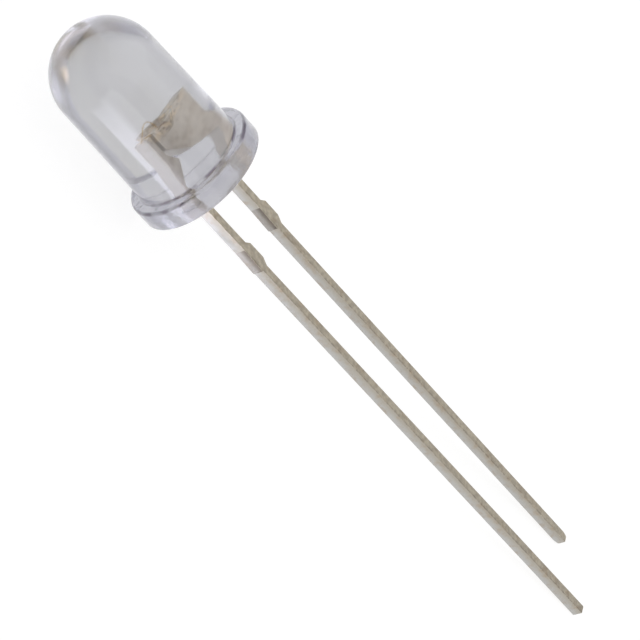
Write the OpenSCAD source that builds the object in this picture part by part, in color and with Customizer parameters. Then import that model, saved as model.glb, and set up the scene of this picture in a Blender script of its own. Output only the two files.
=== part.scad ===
// Clear through hole LED: a domed lens cast round a stamped two-lead frame.
// Every piece is drawn upright about the lens axis, with the flange's back face at z = 0,
// the dome above it and the leads below. laid() then puts it down as it comes to rest,
// on the flange's rim and both lead tips.

/* [Lens] */
// Height of the lens, from the flange's back face to the top of the dome
body_h = 8.6; // [7:0.1:11]
// Diameter of the barrel where it meets the flange
barrel_d = 5.0; // [4.5:0.1:6]
// Draft of the barrel's side, in degrees
barrel_draft = 1.1; // [0.5:0.1:2]
// How far the flange stands out past the barrel, all round
flange_step = 0.5; // [0.4:0.05:1]
// Thickness of the flange
flange_t = 1.0; // [0.8:0.05:1.5]
// Radius of the moulded edge round the flange's front
flange_edge_r = 0.15; // [0.05:0.05:0.3]
// Radius of the moulded corner between the flange and the barrel
root_r = 0.12; // [0.05:0.01:0.2]

/* [Leads] */
// Distance between the centres of the two leads
lead_pitch = 2.54; // [2.4:0.01:3.1]
// Width of a lead, across the strip
lead_w = 0.40; // [0.35:0.01:0.55]
// Thickness of the strip that both leads are stamped from
strip_t = 0.50; // [0.35:0.01:0.6]
// Length of the short lead, the cathode, below the flange
cathode_len = 27.3; // [20:0.1:34]
// How much longer the anode lead is
anode_extra = 2.2; // [1:0.1:3]
// Chamfer on the cut ends of the leads
tip_chamfer = 0.08; // [0.02:0.01:0.12]

/* [Tie bar stubs] */
// Distance from the flange down to the stubs
stub_drop = 3.2; // [2:0.1:6]
// Length of a stub along its lead, on the far side
stub_len = 1.5; // [1.1:0.1:2.2]
// How far a stub stands out on the far side of its lead
stub_out = 0.20; // [0.05:0.01:0.3]
// Length of the slope at the start of a stub
stub_rise = 0.26; // [0.1:0.01:0.4]
// Length of the slope at its end
stub_fall = 0.34; // [0.1:0.01:0.5]
// Length of the cut on the near side, where the tie bar was sheared off almost flush
cut_len = 1.32; // [0.8:0.02:2]
// How far below the start of the stub that cut begins
cut_drop = 0.10; // [0:0.02:0.4]
// How far the cut stands out at its lower end, where the shear drew the metal out
stub_flush = 0.06; // [0.02:0.01:0.1]
// Length of the torn step below it
cut_step = 0.05; // [0.02:0.01:0.1]

/* [Lead frame in the lens] */
// Height of the anvil's top above the flange's back face
anvil_top = 3.55; // [3.2:0.05:4.3]
// How far the anvil's end lies inside the outer edge of the cathode lead
anvil_inset = 0.26; // [0.1:0.01:0.35]
// Height of the anvil's lip beside the cup
lip_h = 0.98; // [0.85:0.01:1.1]
// Slope of the anvil's underside below the lip, in degrees
lip_angle = 46; // [42:1:50]
// Height at which that slope ends and the arch begins
arch_start = 1.72; // [1.5:0.02:1.9]
// Slope of the underside over the arch, in degrees
arch_angle = 28; // [20:1:35]
// Radius where the arch turns down into the cathode post
arch_r = 0.2; // [0.1:0.02:0.3]
// How far the narrow part of the cathode post lies outside the lead's inner edge
neck_step = 0.12; // [0:0.01:0.18]
// Width of the gap between the anvil's lip and the anode post
post_gap = 0.19; // [0.15:0.01:0.3]
// Width of the anode post's top
pad_w = 0.30; // [0.2:0.02:0.34]
// How far the anode post's flag reaches in under the anvil
flag_reach = 0.36; // [0.2:0.02:0.45]
// Height of the flag's point
flag_h = 1.84; // [1.6:0.02:1.9]
// How far the lower anode post is narrowed from its outer side
anode_neck = 0.21; // [0.1:0.01:0.24]

/* [Cup and chip] */
// Radius of the reflector cup at its rim
cup_r = 0.50; // [0.4:0.01:0.6]
// Radius of its floor
cup_floor_r = 0.27; // [0.24:0.01:0.32]
// Depth of the cup
cup_depth = 0.42; // [0.3:0.01:0.55]
// Wall of the cup at its rim
cup_wall = 0.12; // [0.08:0.01:0.18]
// Side of the square chip
die_w = 0.28; // [0.2:0.01:0.3]
// Height of the chip
die_h = 0.12; // [0.08:0.01:0.16]
// Thickness of the silver epoxy under the chip
glue_t = 0.03; // [0.02:0.005:0.05]

/* [Bond wire] */
// Diameter of the gold wire
wire_d = 0.030; // [0.025:0.005:0.05]
// Width of the flattened ball on the chip
ball_d = 0.090; // [0.07:0.005:0.12]
// Height of the ball
ball_h = 0.035; // [0.02:0.005:0.05]
// Rise of the wire's loop above the anvil's top
loop_rise = 1.05; // [0.7:0.05:1.4]

/* [Hidden] */

barrel_r = barrel_d / 2;
flange_r = barrel_r + flange_step;
anode_len = cathode_len + anode_extra;
lead_x = lead_pitch / 2;

// The dome is a ball that the barrel's sloped side runs into without a step.
dome_r = (barrel_r - (body_h - flange_t) * tan(barrel_draft)) / (1 / cos(barrel_draft) - tan(barrel_draft));
dome_z = body_h - dome_r;
tangent_r = dome_r * cos(barrel_draft);
tangent_z = dome_z + dome_r * sin(barrel_draft);

// Heights in the lead frame
cup_floor_z = anvil_top - cup_depth;
cup_outer_r = cup_r + cup_wall;
cup_foot_r = cup_floor_r + cup_wall;
cup_foot_z = cup_floor_z - cup_wall;
lip_z = anvil_top - lip_h;
die_z = cup_floor_z + glue_t;
die_top = die_z + die_h;
post_foot = 0.4;
neck_h = 0.85;
shoulder_h = 1.62;
waist_h = 2.1;
shoulder_x = anvil_inset / 3;
strap_x = -cup_outer_r - post_gap;
flag_foot_z = lip_z - 0.11;
anode_shoulder_h = 1.42;
anode_foot_step = anode_neck * 0.8;

// Silver epoxy: its edge on the cup's floor, and its upper edge under the chip
glue_edge_r = cup_floor_r - 0.02;
glue_top_r = die_w * 0.74;

// Bond wire: rings along a curve from the chip's top to the anode post's top. The rings of the ball have a
// height and a half width. The stitch is pressed to half the wire's thickness and spreads as it ends.
wire_r = wire_d / 2;
wire_sides = 8;
wire_steps = 14;
flat_share = cos(180 / wire_sides);
ball_rings = [
  [0, ball_d * 0.42], [ball_h * 0.35, ball_d / 2],
  [ball_h * 0.75, ball_d * 0.42], [ball_h, wire_r]
];
stitch_r = wire_r / 2;
stitch_len = pad_w / 4;
stitch_rings = [[0, wire_r * 1.6], [stitch_len, wire_r * 1.9]];
wire_start = [0, die_top];
wire_end = [strap_x - pad_w * 0.6, anvil_top + stitch_r * flat_share];
wire_up = [0, anvil_top + loop_rise];
wire_down = [strap_x + post_gap * 0.4, wire_end[1]];

// Rest pose. The floor's direction, seen from the upright LED, is (lean_x, 1, -lean_z): it touches the round
// rim of the flange and the low corner of both tips, so its two unknowns follow from one quadratic.
tip_slope = anode_extra / lead_pitch;
tip_reach = tip_slope * (lead_x + lead_w / 2) + cathode_len - tip_chamfer;
quad_a = pow(tip_reach, 2) - pow(flange_r * tip_slope, 2);
quad_b = tip_reach * strip_t / 2;
quad_c = pow(strip_t / 2, 2) - pow(flange_r, 2);
lean_z = (sqrt(pow(quad_b, 2) - quad_a * quad_c) - quad_b) / quad_a;
lean_x = tip_slope * lean_z;
roll = atan(lean_x);
pitch = asin(lean_z / sqrt(pow(lean_x, 2) + 1 + pow(lean_z, 2)));
rest_z = flange_r * cos(pitch);
dome_end = -dome_z * cos(pitch) - dome_r;
tip_high = (lead_x + lead_w / 2 - tip_chamfer) * sin(roll) + (strip_t / 2 - tip_chamfer) * cos(roll);
tip_end = anode_len * cos(pitch) + tip_high * sin(pitch);
rest_x = -(dome_end + tip_end) / 2;

// A tenth of a millimetre of extra length, so that a cutter runs clear of the face it cuts.
clear = 0.1;

// Points of an arc, from angle a0 to a1
function arc(centre, r, a0, a1, steps = 6) =
  [for (i = [0:steps]) centre + r * [cos(a0 + (a1 - a0) * i / steps), sin(a0 + (a1 - a0) * i / steps)]];

// Lays the upright LED down: dome towards -X, leads towards +X, cathode on the +Y side.
module laid() {
  translate([rest_x, 0, rest_z])
    rotate([0, pitch, 0])
      rotate([-90, 0, 0])
        rotate([0, -90, 0])
          rotate([0, 0, roll])
            children();
}

// Half section of the flange, with its round front edge and the corner where the barrel rises.
module flange_section() {
  square([flange_r - flange_edge_r, flange_t]);
  square([flange_r, flange_t - flange_edge_r]);
  translate([flange_r - flange_edge_r, flange_t - flange_edge_r]) circle(r = flange_edge_r, $fn = 32);
  difference() {
    translate([0, flange_t]) square([barrel_r + root_r, root_r]);
    translate([barrel_r + root_r, flange_t + root_r]) circle(r = root_r, $fn = 32);
  }
}

// The lens as a solid of revolution, before the frame is cast into it. The turn starts on the side that
// faces up once the LED lies down.
module lens_form() {
  rotate([0, 0, -90 - roll]) {
    rotate_extrude($fn = 96) flange_section();
    translate([0, 0, flange_t]) cylinder(h = tangent_z - flange_t, r1 = barrel_r, r2 = tangent_r, $fn = 96);
    intersection() {
      translate([0, 0, dome_z]) sphere(r = dome_r, $fn = 96);
      translate([-barrel_r, -barrel_r, tangent_z]) cube([barrel_d, barrel_d, body_h]);
    }
  }
}

// Near side of a tie bar stub, from the top down: the sheared cut, drawn out towards its lower end
function cut_points() =
  let (edge = -lead_w / 2, top = -stub_drop - cut_drop)
  [[edge, top], [edge - stub_flush, top - cut_len + cut_step], [edge, top - cut_len]];

// Far side of the stub, from the bottom up
function stub_points() =
  let (edge = lead_w / 2, foot = -stub_drop - stub_len)
  [[edge, foot], [edge + stub_out, foot + stub_fall],
   [edge + stub_out, -stub_drop - stub_rise], [edge, -stub_drop]];

// Outline of a lead below the flange: down its near side, across the chamfered end and up its far side
function lead_points(x, len) =
  [for (p = concat(
    cut_points(),
    [[-lead_w / 2, tip_chamfer - len], [tip_chamfer - lead_w / 2, -len],
     [lead_w / 2 - tip_chamfer, -len], [lead_w / 2, tip_chamfer - len]],
    stub_points()
  )) p + [x, 0]];

// The strip seen from its edge: it bounds the thickness of a lead and chamfers the cut end.
module strip_section(len) {
  polygon([
    [-strip_t / 2, anvil_top],
    [-strip_t / 2, tip_chamfer - len],
    [tip_chamfer - strip_t / 2, -len],
    [strip_t / 2 - tip_chamfer, -len],
    [strip_t / 2, tip_chamfer - len],
    [strip_t / 2, anvil_top]
  ]);
}

// Stamps an outline in the x-z plane out of the strip, with the chamfered end.
module stamped(outline, len) {
  intersection() {
    rotate([90, 0, 0]) linear_extrude(strip_t + 2 * clear, center = true) polygon(outline);
    rotate([90, 0, 90]) linear_extrude(4 * lead_pitch, center = true) strip_section(len);
  }
}

// Cathode post and anvil: the post rises over the flange, turns into the wide anvil by the rounded arch,
// and the anvil's sloped underside ends in the lip beside the cup.
function anvil_points() =
  let (
    inner = lead_x - lead_w / 2,
    outer = lead_x + lead_w / 2,
    arch_x = inner + neck_step - arch_r,
    slope_end = (lip_z - arch_start) / tan(lip_angle) - cup_outer_r,
    arch_run = arch_x + arch_r * sin(arch_angle) - slope_end,
    arch_z = arch_start - arch_run * tan(arch_angle) - arch_r * cos(arch_angle)
  )
  concat(
    [[outer, post_foot], [outer - shoulder_x, shoulder_h],
     [outer - anvil_inset, waist_h], [outer - anvil_inset, anvil_top],
     [-cup_outer_r, anvil_top], [-cup_outer_r, lip_z], [slope_end, arch_start]],
    arc([arch_x, arch_z], arch_r, 90 - arch_angle, 0),
    [[inner + neck_step, neck_h], [inner, post_foot]]
  );

// Anode post: narrowed above the lead, it leans in, has a flag under the anvil and ends in the bond pad.
function pad_points() =
  let (inner = -lead_x + lead_w / 2, outer = -lead_x - lead_w / 2)
  [
    [inner, post_foot], [inner - neck_step / 2, neck_h],
    [strap_x + flag_reach, flag_h], [strap_x, flag_foot_z],
    [strap_x, anvil_top], [strap_x - pad_w, anvil_top],
    [strap_x - pad_w, waist_h], [outer + anode_neck, anode_shoulder_h],
    [outer + anode_foot_step, neck_h], [outer, post_foot]
  ];

// Short lead, with the anvil and the cup that is coined into its top
module cathode_form() {
  difference() {
    union() {
      stamped(concat(lead_points(lead_x, cathode_len), anvil_points()), cathode_len);
      translate([0, 0, cup_foot_z])
        cylinder(h = anvil_top - cup_foot_z, r1 = cup_foot_r, r2 = cup_outer_r, $fn = 64);
    }
    translate([0, 0, cup_floor_z])
      cylinder(h = cup_depth, r1 = cup_floor_r, r2 = cup_r, $fn = 64);
  }
}

// Long lead, with its post and bond pad
module anode_form() {
  stamped(concat(lead_points(-lead_x, anode_len), pad_points()), anode_len);
}

// Chip
module die_form() {
  translate([-die_w / 2, -die_w / 2, die_z]) cube([die_w, die_w, die_h]);
}

// Silver epoxy under the chip, spread to the edge of the cup's floor
module die_attach_form() {
  translate([0, 0, cup_floor_z]) cylinder(h = glue_t, r1 = glue_edge_r, r2 = glue_top_r, $fn = 48);
}

// Bond wire: a place on the curve, its direction, and the half height and half width there
function wire_at(t) =
  pow(1 - t, 3) * wire_start + 3 * pow(1 - t, 2) * t * wire_up
  + 3 * (1 - t) * pow(t, 2) * wire_down + pow(t, 3) * wire_end;
function wire_dir(t) =
  let (d = pow(1 - t, 2) * (wire_up - wire_start) + 2 * (1 - t) * t * (wire_down - wire_up)
    + pow(t, 2) * (wire_end - wire_down))
  d / norm(d);
function wire_ring(p, d, half_h, half_w) =
  [for (k = [0:wire_sides - 1])
    let (a = 360 * (k + 0.5) / wire_sides)
    [p[0] - d[1] * half_h * cos(a), half_w * sin(a), p[1] + d[0] * half_h * cos(a)]];

// The wire as one closed tube: a flattened ball on the chip, a round loop and a pressed stitch on the post
module wire_form() {
  up = [0, 1];
  curve = [for (i = [1:wire_steps - 1]) i / wire_steps];
  rings = concat(
    [for (b = ball_rings) wire_ring(wire_start + up * b[0], up, b[1], b[1])],
    [for (t = curve) wire_ring(wire_at(t), wire_dir(t), wire_r, wire_r)],
    [for (s = stitch_rings) wire_ring(wire_end - [s[0], 0], wire_dir(1), stitch_r, s[1])]
  );
  last = len(rings) - 1;
  points = [for (ring = rings) each ring];
  sides = [for (i = [0:last - 1], k = [0:wire_sides - 1])
    let (a = i * wire_sides + k, b = i * wire_sides + (k + 1) % wire_sides)
    each [[a, b, a + wire_sides], [b, b + wire_sides, a + wire_sides]]];
  polyhedron(points, concat(
    [[for (k = [wire_sides - 1:-1:0]) k]],
    sides,
    [[for (k = [0:wire_sides - 1]) last * wire_sides + k]]
  ));
}

module lens() {
  color([0.88, 0.89, 0.92, 0.35]) laid() difference() {
    lens_form();
    cathode_form();
    anode_form();
    die_form();
    die_attach_form();
    wire_form();
  }
}

module cathode_lead() {
  color([0.66, 0.64, 0.59]) laid() cathode_form();
}

module anode_lead() {
  color([0.66, 0.64, 0.59]) laid() anode_form();
}

module die() {
  color([0.35, 0.36, 0.30]) laid() die_form();
}

module die_attach() {
  color([0.78, 0.78, 0.76]) laid() die_attach_form();
}

module bond_wire() {
  color([0.83, 0.62, 0.25]) laid() wire_form();
}

lens();
cathode_lead();
anode_lead();
die();
die_attach();
bond_wire();
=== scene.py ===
"""Looks of a clear through hole LED: a cast epoxy lens round a stamped two-lead frame.

Every piece is built upright about the lens axis, in the LED's own frame, with the flange's back face at
height zero, and is then laid down by the same rest pose that the CAD model has. Sizes are in millimetres
and angles in degrees until a mesh or a node takes them.
"""

import logging
import math
from collections.abc import Iterator
from contextlib import contextmanager
from dataclasses import dataclass
from enum import Enum

import bmesh
import bpy
from bpy.types import Material, Mesh, Node, NodeSocket, NodeTree, Object
from mathutils import Matrix, Quaternion, Vector

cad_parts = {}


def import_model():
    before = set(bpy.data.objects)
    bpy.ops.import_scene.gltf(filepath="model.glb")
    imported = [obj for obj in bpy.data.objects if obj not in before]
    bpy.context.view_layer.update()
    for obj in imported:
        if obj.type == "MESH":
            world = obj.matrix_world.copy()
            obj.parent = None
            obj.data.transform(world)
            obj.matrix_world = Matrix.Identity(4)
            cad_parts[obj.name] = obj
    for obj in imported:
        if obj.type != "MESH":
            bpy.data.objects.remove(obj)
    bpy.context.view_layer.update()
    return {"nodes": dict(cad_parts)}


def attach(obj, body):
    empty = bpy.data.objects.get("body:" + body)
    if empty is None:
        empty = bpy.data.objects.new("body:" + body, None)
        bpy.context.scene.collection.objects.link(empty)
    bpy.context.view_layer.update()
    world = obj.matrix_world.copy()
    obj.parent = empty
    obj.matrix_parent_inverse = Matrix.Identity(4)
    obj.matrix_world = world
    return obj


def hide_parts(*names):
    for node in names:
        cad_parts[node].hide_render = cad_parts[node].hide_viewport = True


MM = 0.001
MERGE = 1e-7
FINE_MERGE = 1e-8
BODY = "root"
LED_ATTRIBUTE = "led"
SKIN_ATTRIBUTE = "skin"
RADIUS_ATTRIBUTE = "wire_radius"
PRESSED_ATTRIBUTE = "pressed"

Color = tuple[float, float, float, float]
Place = tuple[float, float, float]
Span = tuple[float, float]

log = logging.getLogger("led")


@dataclass(frozen=True)
class LedSizes:
    """Driving sizes of the LED, as the CAD model has them."""

    body_h: float = 8.6
    barrel_d: float = 5.0
    barrel_draft: float = 1.1
    flange_step: float = 0.5
    flange_t: float = 1.0
    flange_edge_r: float = 0.15
    root_r: float = 0.12
    lead_pitch: float = 2.54
    lead_w: float = 0.40
    strip_t: float = 0.50
    cathode_len: float = 27.3
    anode_extra: float = 2.2
    tip_chamfer: float = 0.08
    stub_drop: float = 3.2
    cut_drop: float = 0.10
    cut_len: float = 1.32
    anvil_top: float = 3.55
    cup_r: float = 0.50
    cup_floor_r: float = 0.27
    cup_depth: float = 0.42
    cup_wall: float = 0.12
    post_gap: float = 0.19
    pad_w: float = 0.30
    die_w: float = 0.28
    die_h: float = 0.12
    glue_t: float = 0.03
    wire_d: float = 0.030
    ball_d: float = 0.090
    ball_h: float = 0.035
    loop_rise: float = 1.05

    @property
    def barrel_r(self) -> float:
        """Radius of the barrel at the flange."""
        return self.barrel_d / 2

    @property
    def flange_r(self) -> float:
        """Radius of the flange."""
        return self.barrel_r + self.flange_step

    @property
    def lead_x(self) -> float:
        """Distance of each lead from the lens axis."""
        return self.lead_pitch / 2

    @property
    def anode_len(self) -> float:
        """Length of the long lead."""
        return self.cathode_len + self.anode_extra

    @property
    def draft(self) -> float:
        """Draft of the barrel in radians."""
        return math.radians(self.barrel_draft)

    @property
    def dome_r(self) -> float:
        """Radius of the dome, which the barrel runs into without a step."""
        run = (self.body_h - self.flange_t) * math.tan(self.draft)
        return (self.barrel_r - run) / (1 / math.cos(self.draft) - math.tan(self.draft))

    @property
    def dome_z(self) -> float:
        """Height of the dome's centre."""
        return self.body_h - self.dome_r

    @property
    def cup_floor_z(self) -> float:
        """Height of the cup's floor."""
        return self.anvil_top - self.cup_depth

    @property
    def die_z(self) -> float:
        """Height of the chip's underside."""
        return self.cup_floor_z + self.glue_t

    @property
    def die_top(self) -> float:
        """Height of the chip's top."""
        return self.die_z + self.die_h

    @property
    def strap_x(self) -> float:
        """Inner side of the anode post's top."""
        return -(self.cup_r + self.cup_wall) - self.post_gap

    def rest_pose(self) -> Matrix:
        """Lays the upright LED on its flange's rim and both lead tips, as the CAD model does.

        Returns:
            The matrix from the upright LED, in metres, to the part's own frame.
        """
        outer_x = self.lead_x + self.lead_w / 2
        slope = self.anode_extra / self.lead_pitch
        reach = slope * outer_x + self.cathode_len - self.tip_chamfer
        quad_a = reach**2 - (self.flange_r * slope) ** 2
        quad_b = reach * self.strip_t / 2
        quad_c = (self.strip_t / 2) ** 2 - self.flange_r**2
        lean_z = (math.sqrt(quad_b**2 - quad_a * quad_c) - quad_b) / quad_a
        lean_x = slope * lean_z
        roll = math.atan(lean_x)
        pitch = math.asin(lean_z / math.sqrt(lean_x**2 + 1 + lean_z**2))
        dome_end = -self.dome_z * math.cos(pitch) - self.dome_r
        half_w = outer_x - self.tip_chamfer
        half_t = self.strip_t / 2 - self.tip_chamfer
        tip_high = half_w * math.sin(roll) + half_t * math.cos(roll)
        tip_end = self.anode_len * math.cos(pitch) + tip_high * math.sin(pitch)
        rest_x = -(dome_end + tip_end) / 2
        rest_z = self.flange_r * math.cos(pitch)
        quarter = math.pi / 2
        turn = Matrix.Rotation(pitch, 4, "Y") @ Matrix.Rotation(-quarter, 4, "X")
        turn = turn @ Matrix.Rotation(-quarter, 4, "Y") @ Matrix.Rotation(roll, 4, "Z")
        return Matrix.Translation((rest_x * MM, 0, rest_z * MM)) @ turn


class Skin(Enum):
    """What the surface of a stamped lead is, face by face, as its skin attribute has it."""

    ROLLED = 0.0
    SHEARED = 1.0
    CUT = 2.0

    @property
    def reached(self) -> Span:
        """Band of the skin attribute in which the skin before turns into this one."""
        return (self.value - 0.75, self.value - 0.25)


def new_piece(name: str, mesh: Mesh) -> Object:
    """Makes an object of a mesh and links it.

    Args:
        name: Name of the piece.
        mesh: Its mesh.

    Returns:
        The object, at the origin.
    """
    mesh.name = name
    piece = bpy.data.objects.new(name, mesh)
    bpy.context.scene.collection.objects.link(piece)
    return piece


def applied(carrier: Object) -> Mesh:
    """Applies an object's modifiers and removes the object.

    Args:
        carrier: The object with the modifiers.

    Returns:
        The result as a plain mesh.
    """
    graph = bpy.context.evaluated_depsgraph_get()
    mesh = bpy.data.meshes.new_from_object(carrier.evaluated_get(graph))
    bpy.data.objects.remove(carrier)
    return mesh


@contextmanager
def shaping(mesh: Mesh) -> Iterator[bmesh.types.BMesh]:
    """Opens a mesh for shaping and writes it back.

    Args:
        mesh: The mesh.

    Yields:
        The mesh's points, edges and faces.
    """
    work = bmesh.new()
    work.from_mesh(mesh)
    yield work
    work.to_mesh(mesh)
    work.free()


def close_up(mesh: Mesh) -> None:
    """Merges a closed mesh's doubles, turns its faces outwards and shades them smooth.

    Args:
        mesh: The mesh.
    """
    with shaping(mesh) as work:
        bmesh.ops.remove_doubles(work, verts=work.verts, dist=FINE_MERGE)
        bmesh.ops.recalc_face_normals(work, faces=work.faces)
    mesh.shade_smooth()


def keep_led_place(mesh: Mesh) -> None:
    """Writes each point's place in the upright LED, in millimetres, for the materials to read."""
    attribute = mesh.attributes.new(LED_ATTRIBUTE, "FLOAT_VECTOR", "POINT")
    attribute.data.foreach_set("vector", [c / MM for v in mesh.vertices for c in v.co])


def arc(centre: Vector, radius: float, start: float, stop: float, steps: int) -> list[Vector]:
    """Points of an arc.

    Args:
        centre: Its centre.
        radius: Its radius.
        start: First angle.
        stop: Last angle.
        steps: Number of chords.

    Returns:
        The points, both ends included.
    """
    angles = [math.radians(start + (stop - start) * i / steps) for i in range(steps + 1)]
    return [centre + radius * Vector((math.cos(a), math.sin(a))) for a in angles]


def rgb(red: float, green: float, blue: float) -> Color:
    """Turns a display colour into the linear colour that a shader takes.

    Args:
        red: Red, 0 to 255.
        green: Green, 0 to 255.
        blue: Blue, 0 to 255.

    Returns:
        The opaque linear colour.
    """
    def linear(value: float) -> float:
        """Undoes the display curve for one channel."""
        share = value / 255
        return share / 12.92 if share <= 0.04045 else ((share + 0.055) / 1.055) ** 2.4
    return (linear(red), linear(green), linear(blue), 1.0)


class Nodes:
    """Short calls that place and join the nodes of one tree."""

    def __init__(self, tree: NodeTree) -> None:
        """Keeps the tree that the nodes go into."""
        self.tree = tree

    def join(self, value: object, socket: NodeSocket) -> None:
        """Links a socket to an input, or sets a plain value on it.

        Args:
            value: The socket or the value.
            socket: The input.
        """
        if isinstance(value, NodeSocket):
            self.tree.links.new(value, socket)
        else:
            socket.default_value = value

    def feed(self, node: Node, inputs: dict[str | int, object]) -> None:
        """Joins sockets or plain values to a node's inputs, by name or number."""
        for key, value in inputs.items():
            self.join(value, node.inputs[key])

    def add(self, kind: str, inputs: dict[str | int, object] | None = None, **settings: object) -> Node:
        """Adds a node.

        Args:
            kind: Node type.
            inputs: Sockets or plain values for its inputs.
            settings: Properties to set on it first.

        Returns:
            The node.
        """
        node = self.tree.nodes.new(kind)
        for key, value in settings.items():
            setattr(node, key, value)
        self.feed(node, inputs or {})
        return node

    def math(self, operation: str, *terms: object, clamp: bool = False) -> NodeSocket:
        """Adds a Math node.

        Args:
            operation: Its operation.
            terms: Sockets or numbers for its inputs.
            clamp: Whether its result is kept from 0 to 1.

        Returns:
            Its output.
        """
        node = self.add("ShaderNodeMath", operation=operation, use_clamp=clamp)
        self.feed(node, dict(enumerate(terms)))
        return node.outputs[0]

    def product(self, *terms: object) -> NodeSocket:
        """Multiplies the terms from left to right.

        Args:
            terms: Two or more sockets or numbers.

        Returns:
            The product.
        """
        result = terms[0]
        for term in terms[1:]:
            result = self.math("MULTIPLY", result, term)
        return result

    def axes(self, vector: NodeSocket) -> tuple[NodeSocket, ...]:
        """Gives the X, Y and Z of a vector."""
        return tuple(self.add("ShaderNodeSeparateXYZ", {"Vector": vector}).outputs)


class Tree(Nodes):
    """A geometry node tree with named inputs."""

    def __init__(self, name: str, sizes: dict[str, int | float]) -> None:
        """Starts the tree with a geometry input and output and an input for each size.

        Args:
            name: Name of the tree.
            sizes: Each input's value. A whole number makes a whole number input.
        """
        super().__init__(bpy.data.node_groups.new(name, "GeometryNodeTree"))
        face = self.tree.interface
        face.new_socket("Geometry", in_out="INPUT", socket_type="NodeSocketGeometry")
        face.new_socket("Geometry", in_out="OUTPUT", socket_type="NodeSocketGeometry")
        self.values: dict[str, int | float] = {}
        for key, value in sizes.items():
            kind = "NodeSocketInt" if isinstance(value, int) else "NodeSocketFloat"
            socket = face.new_socket(key, in_out="INPUT", socket_type=kind)
            self.values[socket.identifier] = value
        self.given = self.add("NodeGroupInput").outputs
        self.result = self.add("NodeGroupOutput").inputs

    def place(self) -> NodeSocket:
        """Gives each point's place."""
        return self.add("GeometryNodeInputPosition").outputs["Position"]

    def length(self, first: NodeSocket, second: NodeSocket) -> NodeSocket:
        """Gives the length of two sides of a right angle taken together."""
        return self.math("SQRT", self.math("ADD", self.product(first, first), self.product(second, second)))

    def finish(self, geometry: NodeSocket, material: Material) -> None:
        """Ends the tree in Realize Instances and Set Material.

        Args:
            geometry: The finished geometry.
            material: The material of the piece.
        """
        real = self.add("GeometryNodeRealizeInstances", {"Geometry": geometry})
        dress = self.add("GeometryNodeSetMaterial", {"Geometry": real.outputs["Geometry"], "Material": material})
        self.join(dress.outputs["Geometry"], self.result["Geometry"])

    def run(self, source: Mesh) -> Mesh:
        """Runs the tree on a mesh.

        Args:
            source: The mesh that the tree starts from.

        Returns:
            The finished mesh, closed and smooth, with no modifier left.
        """
        carrier = new_piece(self.tree.name, source)
        modifier = carrier.modifiers.new("tree", "NODES")
        modifier.node_group = self.tree
        for identifier, value in self.values.items():
            modifier[identifier] = value
        mesh = applied(carrier)
        close_up(mesh)
        return mesh


class Graph(Nodes):
    """Short calls for shader nodes."""

    def remap(self, value: object, band: Span, to: Span = (0, 1)) -> NodeSocket:
        """Maps a band of the value smoothly to another, and holds it beyond both ends."""
        inputs = {"Value": value, "From Min": band[0], "From Max": band[1], "To Min": to[0], "To Max": to[1]}
        return self.add("ShaderNodeMapRange", inputs, interpolation_type="SMOOTHSTEP").outputs["Result"]

    def between(self, value: object, rise: Span, fall: Span) -> NodeSocket:
        """Gives 1 between a rise and a fall, each written from its 0 to its 1, and 0 beyond them."""
        return self.product(self.remap(value, rise), self.remap(value, fall))

    def blend(self, factor: object, first: object, second: object) -> NodeSocket:
        """Mixes two colours."""
        node = self.add("ShaderNodeMix", {"Factor": factor, "A": first, "B": second}, data_type="RGBA")
        return node.outputs["Result"]

    def noise(self, vector: NodeSocket, scale: object, detail: float, rough: float) -> NodeSocket:
        """Gives a noise from 0 to 1."""
        inputs = {"Vector": vector, "Scale": scale, "Detail": detail, "Roughness": rough}
        return self.add("ShaderNodeTexNoise", inputs).outputs["Fac"]

    def attribute(self, name: str) -> Node:
        """Adds an Attribute node for one of the piece's own attributes."""
        return self.add("ShaderNodeAttribute", attribute_name=name)

    def place(self) -> NodeSocket:
        """Gives the place in the upright LED, in millimetres."""
        return self.attribute(LED_ATTRIBUTE).outputs["Vector"]

    def mirrored(self, path: Node) -> NodeSocket:
        """Gives 1 where gloss or glass looks, from the Light Path node."""
        return self.math("MAXIMUM", path.outputs["Is Glossy Ray"], path.outputs["Is Transmission Ray"])


class ShaderGroup(Graph):
    """A shader node group with named inputs and outputs."""

    def __init__(self, name: str, inputs: dict[str, float], outputs: tuple[str, ...]) -> None:
        """Starts the group.

        Args:
            name: Name of the group.
            inputs: Each input's usual value.
            outputs: Name of each output.
        """
        super().__init__(bpy.data.node_groups.new(name, "ShaderNodeTree"))
        face = self.tree.interface
        for key, value in inputs.items():
            socket = face.new_socket(key, in_out="INPUT", socket_type="NodeSocketFloat")
            socket.default_value = value
        for key in outputs:
            face.new_socket(key, in_out="OUTPUT", socket_type="NodeSocketFloat")
        self.given = self.add("NodeGroupInput").outputs
        self.result = self.add("NodeGroupOutput")


class Surface(Graph):
    """A node material with one Principled shader."""

    def __init__(self, name: str, inputs: dict[str, object]) -> None:
        """Starts the material.

        Args:
            name: Name of the material.
            inputs: The shader's plain values.
        """
        self.material = bpy.data.materials.new(name)
        self.material.use_nodes = True
        super().__init__(self.material.node_tree)
        self.shader = self.tree.nodes["Principled BSDF"]
        self.feed(self.shader, inputs)

    def grain(self, group: NodeTree, streak: float, stretch: float, mottle: float, height: float) -> Node:
        """Places the grain group with the material's own scales, stretch and streak height."""
        inputs = {"Streak Scale": streak, "Stretch": stretch, "Mottle Scale": mottle, "Streak Height": height}
        return self.add("ShaderNodeGroup", inputs, node_tree=group)

    def relief(self, height: NodeSocket, strength: float, depth: float) -> None:
        """Gives the shader a bump, with its depth in millimetres."""
        bump = self.add("ShaderNodeBump", {"Height": height, "Strength": strength, "Distance": depth * MM})
        self.feed(self.shader, {"Normal": bump.outputs["Normal"]})


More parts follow.
